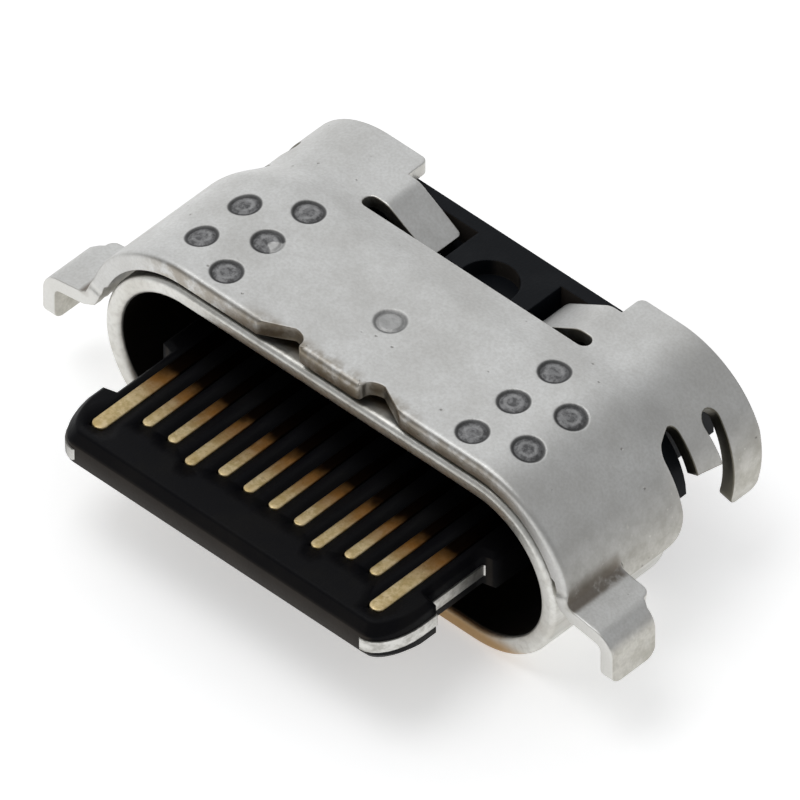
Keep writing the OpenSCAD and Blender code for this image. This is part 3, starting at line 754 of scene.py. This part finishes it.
def cover_outline():
    """The blank's outline, right half first: stub and relief, front edge, wing, skirt, front slot,
    tab, rear slot, rear leg, rear edge, flap and cut-out."""
    tip_r, plate_r, leg_r, stub_r = 0.2, 0.15, 0.17, 0.09
    wing_in, wing_out = 0.12, 0.02  # where the front edge turns down to the wing's own
    slot_r = SLOT_W / 2
    leg_y = TAB_Y + TAB_W + SLOT_W
    slot_end = FLAP_SLOT / 2
    slot_x = FLAP_X + FLAP_SLOT_OVER - slot_end
    flap_r, arm_r = 0.08, 0.12
    flap_x = FLAP_X - FLAP_LEN + flap_r
    front = chain(
        (0, 0), arc(STUB_X - stub_r, stub_r, stub_r, stub_r, 270, 360),
        arc(STUB_X + RELIEF, stub_r, RELIEF, RELIEF - stub_r, 180, 90),
        (STUB_X + RELIEF_RUN, 0), (ROOT_Q - wing_in, 0), (ROOT_Q - wing_out, WING_FRONT))
    wing = chain(
        arc(TIP_Q - tip_r, WING_FRONT + tip_r, tip_r, tip_r, -90, 0),
        arc(TIP_Q - tip_r, LEG_END - tip_r, tip_r, tip_r, 0, 90),
        (ELBOW_Q + plate_r, LEG_END),
        arc(ELBOW_Q - plate_r, WING_END - plate_r, plate_r, plate_r, 0, 90),
        (ROOT_Q, WING_END), (ROOT_Q - SLIT, WING_END + SLIT / 2))
    wall = np.concatenate([
        [[WING_END + SLIT, SKIRT_Z]],
        arc(FRONT_LEN - SKIRT_ROUND, SKIRT_Z + SKIRT_ROUND, SKIRT_ROUND, SKIRT_ROUND, -90, 0),
        upright(FRONT_LEN, SKIRT_Z + SKIRT_ROUND, FRONT_SLOT_Z - slot_r),
        arc(FRONT_LEN + slot_r, FRONT_SLOT_Z - slot_r, slot_r, slot_r, 180, 90),
        arc(TAB_Y - slot_r, FRONT_SLOT_Z - slot_r, slot_r, slot_r, 90, 0),
        upright(TAB_Y, FRONT_SLOT_Z - slot_r, TAB_Z),
        upright(TAB_Y + TAB_W, TAB_Z - TAB_DROP, SLOT_Z - slot_r, TAB_FLARE),
        arc(leg_y - slot_r, SLOT_Z - slot_r, slot_r, slot_r, 180, 0),
        arc(leg_y - LEG_LEAN + leg_r, REAR_LEG_Z + leg_r, leg_r, leg_r, 180, 270),
        arc(COVER_LEN - LEG_LEAN - leg_r, REAR_LEG_Z + leg_r, leg_r, leg_r, 270, 360),
        [[COVER_LEN, TAB_Z]]])
    rear = chain(
        arc(slot_x + arm_r, COVER_LEN - arm_r, arm_r, arm_r, 90, 180),
        (slot_x, FLAP_Y + FLAP_W), arc(flap_x, FLAP_Y + FLAP_W - flap_r, flap_r, flap_r, 90, 180),
        arc(flap_x, FLAP_Y + flap_r, flap_r, flap_r, 180, 270), (slot_x, FLAP_Y),
        arc(slot_x, CUTOUT_Y + slot_end, slot_end, slot_end, 90, -90), (0, CUTOUT_Y))
    return refined(mirrored(chain(front, wing, side_view(wall), rear)), RIM_CELL)


def weld_spots():
    """Centres of the weld spots in the flat: five on each side and one in the middle. On the
    bend a spot's x is turned into its arc."""
    inner = [(WELD_X, WELD_Y + k * WELD_STEP) for k in range(3)]
    outer = [(WELD_X + WELD_ROW, WELD_Y + (k + WELD_SHIFT) * WELD_STEP * WELD_SPREAD)
             for k in range(2)]
    rows = np.array(inner + outer)
    past = np.maximum(rows[:, 0] - CORNER_X, 0)
    q = np.where(past > 0, CORNER_X + COVER_R * np.arcsin(past / COVER_R), rows[:, 0])
    right = np.stack([q, rows[:, 1]], -1)
    return np.concatenate([right, right * (-1, 1), [[0.0, WELD_Y + WELD_STEP]]])


def weld_values(flat):
    """For each flat point, its distance to the nearest weld in weld radii, at most 2, and how
    dark that weld is burnt: 1, or less on the middle one and on a quarter of one at the left."""
    spots = weld_spots()
    off = flat[:, None] - spots
    apart = np.linalg.norm(off, axis=-1) / WELD_R
    nearest = apart.argmin(1)
    chipped = off[:, CHIPPED_WELD]
    burn = np.where(nearest == len(spots) - 1, MIDDLE_BURN, 1.0)
    burn[(nearest == CHIPPED_WELD) & (chipped[:, 0] > np.abs(chipped[:, 1]))] = CHIPPED_BURN
    return np.minimum(apart.min(1), 2.0), burn


def wave(t):
    """A raised cosine: 1 at 0, down to 0 at 1 and -1, and 0 beyond."""
    return 0.5 + 0.5 * np.cos(math.pi * np.clip(t, -1, 1))


def weld_dent(reach):
    """A weld's depth at a reach in its own radii: a sunk ring, and inside it a face half as deep
    that rises to the surface under the ring."""
    ring_at, ring_width = 0.8, 0.24
    face_end, face_rise = 0.3, 0.6
    ring = WELD_SINK * wave((reach - ring_at) / ring_width)
    face = 0.5 * WELD_SINK * wave(np.maximum((reach - face_end) / face_rise, 0))
    return np.maximum(ring, face)


def weld_points():
    """Rings of points round each weld, close where the ring is sunk."""
    radii = WELD_R * np.array([0.0, 0.25, 0.45, 0.58, 0.66, 0.73, 0.8, 0.87, 0.94, 1.02, 1.12])
    t = np.linspace(0, 2 * math.pi, 32, endpoint=False)
    circle = np.stack([np.cos(t), np.sin(t)], -1)
    rings = (radii[1:, None, None] * circle).reshape(-1, 2)
    own = np.concatenate([[[0, 0]], rings])
    spots = weld_spots()
    points = (spots[:, None] + own).reshape(-1, 2)
    clearing = np.full((len(spots), 1), WELD_R * WELD_CLEARING)
    return points, np.concatenate([spots, clearing], 1)


def outer_cover():
    """The folded sheet: its rim, its outer face with the weld spots, and its inner face. Each
    shell's values are the weld reach, the weld burn and how much of a cut edge it is."""
    outline = cover_outline()
    near_front, off_root, front_share = 0.02, 0.2, 0.25
    front = (outline[:, 1] < near_front) & (np.abs(outline[:, 0]) < ROOT_Q - off_root)
    rings = rim_rings(outline, np.where(front, FRONT_ROUND, CUT_ROUND), CUT_ROUND, SHEET)
    rim = np.concatenate([fold(flat[:, 0], flat[:, 1], depth) for flat, depth in rings])
    cut = np.ones(len(rings))
    cut[[0, 1, -2, -1]] = 0
    share = np.where(front, front_share, 1.0)
    cut_edge = np.repeat(cut, len(outline)) * np.tile(share, len(rings))
    quads = ring_faces(len(rings), len(outline))[:, ::-1]
    points, faces = filled([rings[0][0]], SHEET_CELL, weld_points())
    reach, burn = weld_values(points)
    outer = fold(points[:, 0], points[:, 1], weld_dent(reach))
    under, under_faces = filled([rings[-1][0]], SHEET_CELL)
    inner = fold(under[:, 0], under[:, 1], SHEET)
    shells = [(rim, quads, (2.0, 1.0, cut_edge)), (outer, faces, (reach, burn, 0.0)),
              (inner, under_faces[:, ::-1], (2.0, 1.0, 0.0))]
    piece("outer_cover_sheet", COVER_STEEL, shells, ["outer_cover"],
          ["weld_reach", "weld_burn", "cut_edge"])


# ---- The inner shell: a drawn ring, one section carried round the mouth ----

def stadium_path(steps=48):
    """The way round the mouth: (bend axis x, outward x, outward z) at each station, half a turn
    round each bend axis. The straight runs lie between the two half turns."""
    t = np.linspace(-math.pi / 2, math.pi / 2, steps + 1)
    right = np.stack([np.full(len(t), CORNER_X), np.cos(t), np.sin(t)], -1)
    flats = np.linspace(-1, 1, 14)[1:-1]
    top = np.stack([-CORNER_X * flats, 0 * flats, 1 + 0 * flats], -1)
    return np.concatenate([right, top, right * (-1, -1, -1), top * (-1, 1, -1)])


def carried_round(section):
    """A section drawn as (radius, y) carried round the mouth: x is the bend axis plus the radius
    times the outward x, and z is the radius times the outward z."""
    path = stadium_path()
    radius, y = section[:, :1], section[:, 1:]
    x = path[:, 0] + radius * path[:, 1]
    z = radius * path[:, 2]
    points = np.stack([x, y + 0 * x, z], -1).reshape(-1, 3)
    return points, ring_faces(len(section), len(path), True)


def inner_shell():
    """The drawn ring: its wall's section, rounded at the front, carried round the mouth. The
    mouth's wall behind the rounding is marked for painted shade, nearly black."""
    mouth_r = SHELL_R - SHELL_WALL
    rear_r = SHELL_REAR_ROUND
    half_way = SHELL_LEN / 2
    section = chain(
        (mouth_r, half_way), (mouth_r, SHELL_ROUND + SUPPORT),
        arc(mouth_r + SHELL_ROUND, SHELL_ROUND, SHELL_ROUND, SHELL_ROUND, 180, 270, 6),
        arc(SHELL_R - SHELL_ROUND, SHELL_ROUND, SHELL_ROUND, SHELL_ROUND, 270, 360, 6),
        (SHELL_R, SHELL_ROUND + SUPPORT), (SHELL_R, half_way),
        (SHELL_R, SHELL_LEN - rear_r - SUPPORT),
        arc(SHELL_R - rear_r, SHELL_LEN - rear_r, rear_r, rear_r, 0, 90, 3),
        arc(mouth_r + rear_r, SHELL_LEN - rear_r, rear_r, rear_r, 90, 180, 3),
        (mouth_r, SHELL_LEN - rear_r - SUPPORT))
    points, faces = carried_round(section)
    # Painted shade: marks the mouth's wall behind the rounding, which its material makes nearly
    # black.
    painted_mouth_shade = (section[:, 0] < mouth_r + 0.02) & (section[:, 1] > SHELL_ROUND)
    shells = [(points, faces, (np.repeat(painted_mouth_shade.astype(float), len(stadium_path())),))]
    piece("inner_shell_ring", SHELL_STEEL, shells, ["inner_shell"], ["painted_mouth_shade"])


# ---- The tongue: a moulded blade with a groove for each contact ----

def contact_x(i):
    """The i-th contact's middle: twelve contacts at one pitch, centred on the mouth."""
    return (i - 6.5) * PITCH


def contact_width(i):
    return GROUND_W if i in (1, 12) else SIGNAL_W


def contact_start(i):
    return TIP_Y + (GROUND_SET if i in (1, 12) else SUPPLY_SET if i in (4, 9) else SIGNAL_SET)


def tongue_outline():
    """The blade in plan: elliptic front corners, and a latch recess in each side."""
    latch = TIP_Y + LATCH_Y
    behind = latch + LATCH_LEN
    half = chain(
        (0, TIP_Y), arc(TONGUE_X - CORNER_A, TIP_Y + CORNER_B, CORNER_A, CORNER_B, 270, 360, 20),
        (TONGUE_X, latch), (TONGUE_X - LATCH_IN, latch + LATCH_SLOPE),
        (TONGUE_X - LATCH_IN, behind), (TONGUE_X, behind + LATCH_SLOPE),
        (TONGUE_X, WALL_Y + SEAT), (0, WALL_Y + SEAT))
    return refined(mirrored(half), BLADE_RIM_CELL)


def groove_outline(i):
    """The groove of the i-th contact in plan, with small round corners at its front end."""
    x = contact_x(i)
    half = contact_width(i) / 2 + CLEAR
    r = GROOVE_ROUND
    front = contact_start(i) - CLEAR
    return chain(
        arc(x - half + r, front + r, r, r, 180, 270, 4),
        arc(x + half - r, front + r, r, r, 270, 360, 4),
        (x + half, BASE_Y + SEAT), (x - half, BASE_Y + SEAT))


def lead_rings(outline, width, height, thickness):
    """The edge of a slab with a lead-in chamfer on both faces, as rings of (inset points, depth).
    A chamfer runs from width in at the face to height down at the edge, and each of its corners is
    a short round of three rings."""
    way = inward(outline)
    cut = 0.22  # the share of the chamfer that each round takes
    upper = [(width + SUPPORT, 0 * height), (width + cut * SUPPORT, 0 * height),
             (width * (1 - cut / 2), height * cut / 2), (width * (1 - cut), height * cut),
             (width * cut, height * (1 - cut)), (width * cut / 4, height * (1 - cut / 4)),
             (0 * width, height + cut * SUPPORT)]
    lower = [(inset, thickness - depth) for inset, depth in upper[::-1]]
    return [(outline + way * inset[:, None], depth) for inset, depth in upper + lower]


def slab(outline, low, high, rings, holes=(), floor=0.0):
    """A moulded slab between two heights, with an edge made of rings. Each hole is an outline that
    goes down to floor in both faces, measured from them."""
    rim = np.concatenate([np.column_stack([flat, high - depth]) for flat, depth in rings])
    shells = [(rim, ring_faces(len(rings), len(outline))[:, ::-1], ())]
    for flat, z, into in ((rings[0][0], high, -1), (rings[-1][0], low, 1)):
        points, faces = filled([flat] + list(holes), PLASTIC_CELL)
        shells.append((np.column_stack([points, np.full(len(points), z)]), faces[:, ::-into], ()))
        for hole in holes:
            wall = np.concatenate([np.column_stack([hole, np.full(len(hole), z + into * d)])
                                   for d in (0.0, floor)])
            shells.append((wall, ring_faces(2, len(hole))[:, ::-into], ()))
            base, faces = filled([hole], PLASTIC_CELL)
            low_face = np.column_stack([base, np.full(len(base), z + into * floor)])
            shells.append((low_face, faces[:, ::-into], ()))
    return shells


def rounded_box(x, y0, y1, z, edge):
    """A box about the middle plane with every edge round in plan and in height."""
    outline = chain(
        arc(x - edge, y0 + edge, edge, edge, -90, 0, 4),
        arc(x - edge, y1 - edge, edge, edge, 0, 90, 4),
        arc(edge - x, y1 - edge, edge, edge, 90, 180, 4),
        arc(edge - x, y0 + edge, edge, edge, 180, 270, 4))
    outline = refined(outline, BOX_RIM_CELL)
    return slab(outline, -z, z, rim_rings(outline, edge, edge, 2 * z))


def tongue():
    """The blade with its grooves, the thick base, and the wall that closes the shell."""
    grooves = [groove_outline(i) for i in range(1, 13)]
    outline = tongue_outline()
    back = np.clip((outline[:, 1] - TIP_Y) / CORNER_B, 0, 1)
    width = LEAD_Y + (SIDE_LEAD - LEAD_Y) * back
    height = LEAD_Z + (SIDE_LEAD - LEAD_Z) * back
    rings = lead_rings(outline, width, height, TONGUE_T)
    shells = slab(outline, -TONGUE_T / 2, TONGUE_T / 2, rings, grooves, CONTACT_T - PROUD)
    base_edge, wall_edge, core, half_out = 0.04, 0.03, 0.02, 0.6
    shells += rounded_box(TONGUE_X - BASE_IN, BASE_Y, SHELL_LEN, BASE_T / 2, base_edge)
    wall_r = SHELL_R - SHELL_WALL - FIT
    section = chain(
        (core, WALL_Y), (half_out, WALL_Y), (wall_r - wall_edge - core, WALL_Y),
        arc(wall_r - wall_edge, WALL_Y + wall_edge, wall_edge, wall_edge, 270, 360, 3),
        (wall_r, SHELL_LEN), (core, SHELL_LEN))
    points, faces = carried_round(section)
    shells.append((points, faces, ()))
    piece("tongue_moulding", TONGUE_PLASTIC, shells, ["tongue"])


# ---- The contacts: one strip section carried along a folded line ----

def strip(line, width, thickness, x, length):
    """A strip carried along a folded line in the plane across X. Its section is a rectangle with
    round corners, and its free end is half a circle: at a distance s from the end, closer than
    the radius r, the half-width is the root of r squared less (r - s) squared."""
    r = width / 2
    head = r * (1 - np.cos(np.linspace(0, math.pi / 2, 8)))
    head[0] = 0.002  # the end is a small facet, not a point
    s = np.concatenate([head, np.arange(r + STRIP_CELL, length, STRIP_CELL), [length]])
    half = np.sqrt(np.maximum(r * r - np.maximum(r - s, 0) ** 2, 1e-8))[:, None]
    corner = CONTACT_ROUND
    t = np.radians(np.linspace(0, 90, 4))
    cx, cz = np.cos(t) * corner, np.sin(t) * corner
    quarters = [(1, 1, cx, cz), (-1, 1, -cx[::-1], cz[::-1]),
                (-1, -1, -cx, -cz), (1, -1, cx[::-1], -cz[::-1])]
    rows = []
    for side, face, round_x, round_z in quarters:
        out = np.maximum(half - corner, 0) * side + np.minimum(half, corner) / corner * round_x
        up = np.broadcast_to(face * (thickness / 2 - corner) + round_z, out.shape)
        rows.append(np.stack([out, up], -1))
    ring = np.concatenate(rows, 1)
    y, z = along(line, s[:, None], -ring[..., 1])
    points = np.stack([x + ring[..., 0], y, z], -1).reshape(-1, 3)
    count = ring.shape[1]
    faces = ring_faces(len(s), count)[:, ::-1].tolist()
    faces.append(list(range(count)))
    faces.append((np.arange(count)[::-1] + (len(s) - 1) * count).tolist())
    return points, faces


def contact_line(i, upper):
    """The middle line of a contact in side view, as a folded line, with its length. Each entry
    of runs is the distance between two corners, and each corner a quarter turn up or down."""
    r = CONTACT_BEND
    middle = CONTACT_T / 2
    start = contact_start(i)
    blade = TONGUE_T / 2 + PROUD - middle
    if upper:
        riser = SHELL_LEN + RISER_GAP + middle
        top = foot_high[2] - middle
        drop = foot_high[1] - TAIL_RUN + middle
        board = foot_low[2] + middle
        runs = [riser - start, top - blade, drop - riser, top - board, foot_high[1] - drop]
        turns = [1, -1, -1, 1]
    else:
        blade = -blade
        riser = under_high[1] - UNDER_RUN + middle
        board = under_high[2] - middle
        runs = [riser - start, board - blade, under_high[1] - riser]
        turns = [1, -1]
    parts = []
    for run, turn in zip(runs, turns + [0]):
        ends = 2 if parts and turn else 1
        parts += [(run - ends * r, 0.0), (r * math.pi / 2, turn * math.pi / 2)]
    parts.pop()
    return folded_line(np.array([start, blade]), 0.0, parts), sum(part[0] for part in parts)


def contact(row, i):
    """The i-th contact of a row. The upper row counts from the left and the lower from the
    right, so that a plug meets the same contact either way up."""
    upper = row == "a"
    line, length = contact_line(i, upper)
    x = contact_x(i) if upper else -contact_x(i)
    points, faces = strip(line, contact_width(i), CONTACT_T, x, length)
    node = f"contact_{row}{i}"
    mesh = bpy.data.meshes.new(node + "_strip")
    mesh.from_pydata(points * MM, [], faces)
    finished(node + "_strip", mesh, CONTACT_GOLD, [node])


outer_cover()
inner_shell()
tongue()
for number in range(1, 13):
    contact("a", number)
    contact("b", number)

# ---- CAD nodes that stay: their own finish ----

for node, material in (("mid_plate", PLATE_STEEL), ("shield_top", PLATE_STEEL),
                       ("shield_bottom", PLATE_STEEL), ("rear_housing", HOUSING_PLASTIC)):
    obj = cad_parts[node]
    for slot_of_node in obj.material_slots:
        slot_of_node.material = material


# ---- Floor, light and camera ----

def floor():
    """A plain pale floor just under the shell's flat underside. It glows to the camera and in
    gloss, so that it shows white there, and it keeps the shadow."""
    reach, gap = 400 * MM, 0.002 * MM
    z = cad_box[0][2] - gap
    square = [(-reach, -reach, z), (reach, -reach, z), (reach, reach, z), (-reach, reach, z)]
    mesh = bpy.data.meshes.new("floor")
    mesh.from_pydata(square, [], [(0, 1, 2, 3)])
    f = Finish("floor_paper", roughness=0.9)
    direct, gloss, through = (
        f.node("ShaderNodeLightPath", {}, {}, f"Is {kind} Ray")
        for kind in ("Camera", "Glossy", "Transmission"))
    glow = f.blend(direct + gloss + through, rgb(0, 0, 0), rgb(0.47, 0.47, 0.47))
    f.feed(Base_Color=rgb(0.92, 0.92, 0.92), Emission_Color=glow, Emission_Strength=1.0)
    mesh.materials.append(f.material)
    obj = bpy.data.objects.new("floor", mesh)
    bpy.context.scene.collection.objects.link(obj)


def compass(azimuth, elevation):
    """The direction of length one from the socket to a place that many degrees round to the right
    of its front, and that many up."""
    a, e = math.radians(azimuth), math.radians(elevation)
    return Vector((math.sin(a) * math.cos(e), -math.cos(a) * math.cos(e), math.sin(e)))


def softbox(name, azimuth, elevation, distance, size, power):
    """A square soft light that faces the socket, with its distance and size in millimetres."""
    way = compass(azimuth, elevation)
    lamp = bpy.data.lights.new(name, "AREA")
    lamp.size = size * MM
    lamp.energy = power
    obj = bpy.data.objects.new(name, lamp)
    turn = way.to_track_quat("Z", "Y").to_matrix().to_4x4()
    obj.matrix_world = Matrix.Translation(way * distance * MM) @ turn
    bpy.context.scene.collection.objects.link(obj)


def daylight():
    """A soft surround with two broad glows, a strong one behind on the left and a weak one behind
    on the right. Each glow is a smooth step of the direction's cosine with the glow's own."""
    world = bpy.data.worlds.new("studio")
    bpy.context.scene.world = world
    world.use_nodes = True
    n = Nodes(world.node_tree)
    way = n.node("ShaderNodeTexCoord", {}, {}, "Generated")
    behind_left, behind_right = (-0.8, 0.48, 0.36), (0.62, 0.5, 0.6)
    left = n.step(n.towards(way, behind_left), 0.5, 0.95)
    right = n.step(n.towards(way, behind_right), 0.84, 1.0)
    level = 0.35 + left * 0.58 + right * 0.24
    back = world.node_tree.nodes["Background"]
    back.inputs["Color"].default_value = rgb(0.98, 0.99, 1.0)
    n.plug(back.inputs["Strength"], level)


def long_lens_camera():
    """A nearly parallel view from in front, to the right and above: a 1562 mm lens half a metre
    away, on a 36 mm sensor."""
    azimuth, elevation, distance = 43.36, 43.69, 500.0
    shift_right, shift_up = 0.351, 0.093
    back = compass(azimuth, elevation)
    right = Vector((math.cos(math.radians(azimuth)), math.sin(math.radians(azimuth)), 0))
    up = back.cross(right)
    aim = Vector((0, 1.0, 0.5)) + right * shift_right + up * shift_up
    lens = bpy.data.cameras.new("camera")
    lens.sensor_width = 36.0
    lens.lens = 1562.4
    lens.clip_start = 0.05
    lens.clip_end = 5.0
    obj = bpy.data.objects.new("camera", lens)
    turn = Matrix((right, up, back)).transposed().to_4x4()
    obj.matrix_world = Matrix.Translation((aim + back * distance) * MM) @ turn
    bpy.context.scene.collection.objects.link(obj)
    bpy.context.scene.camera = obj


floor()
softbox("overhead", azimuth=300, elevation=75, distance=90, size=50, power=0.02)
daylight()
long_lens_camera()
bpy.context.scene.view_settings.view_transform = "Standard"
